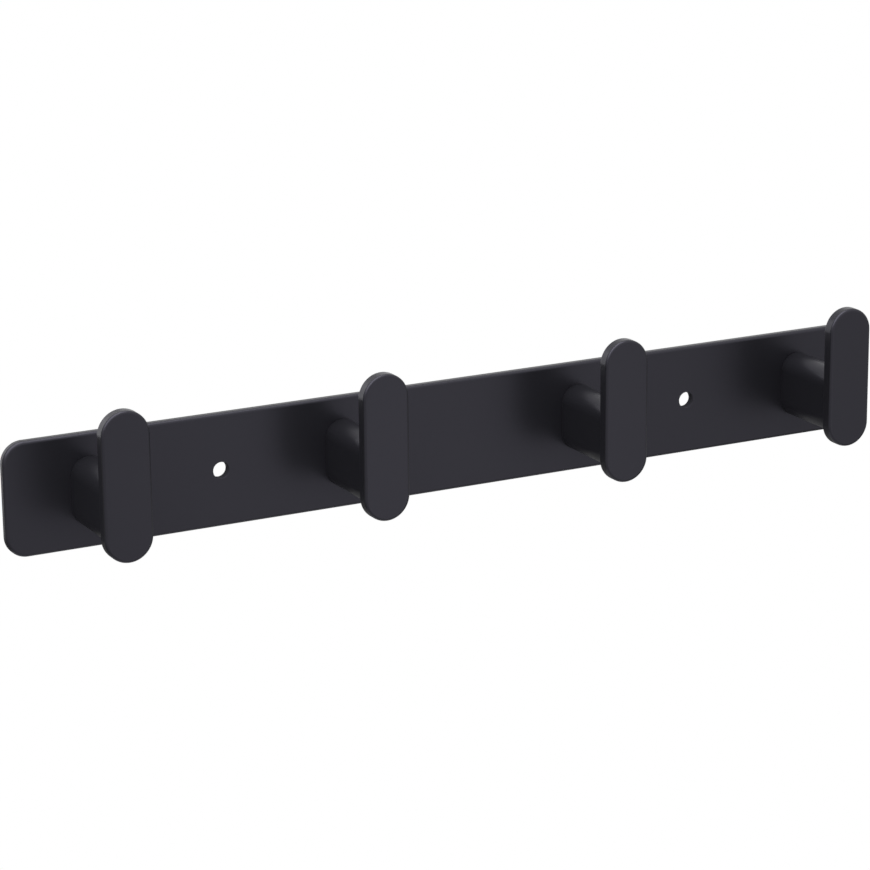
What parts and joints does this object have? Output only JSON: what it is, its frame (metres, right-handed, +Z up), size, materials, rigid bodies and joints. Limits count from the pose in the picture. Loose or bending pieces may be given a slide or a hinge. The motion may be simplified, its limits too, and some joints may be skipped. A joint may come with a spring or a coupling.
{
  "type": "wall coat rack",
  "caption": "Flat back plate with rounded corners, carrying a row of obround posts that each end in an upright round-ended head, for hanging coats and bags on a wall.",
  "frame": {"origin": "centre of the back plate's rear face, which lies against the wall", "axes": "+X along the plate to the right as the user sees it, +Y into the wall, +Z up; the hooks stand out towards -Y"},
  "size_m": [0.342, 0.038, 0.0557],
  "materials": {
    "plate_coat": "satin black powder coat on sheet steel",
    "hook_coat": "satin black powder coat on die-cast zinc",
    "zinc_plate": "bright zinc plating on steel"
  },
  "bodies": {
    "root": {"back_plate": "plate_coat", "hook_1": "hook_coat", "hook_2": "hook_coat", "hook_3": "hook_coat", "hook_4": "hook_coat", "hook_1_upper_screw": "zinc_plate", "hook_1_lower_screw": "zinc_plate", "hook_2_upper_screw": "zinc_plate", "hook_2_lower_screw": "zinc_plate", "hook_3_upper_screw": "zinc_plate", "hook_3_lower_screw": "zinc_plate", "hook_4_upper_screw": "zinc_plate", "hook_4_lower_screw": "zinc_plate"}
  },
  "joints": []
}
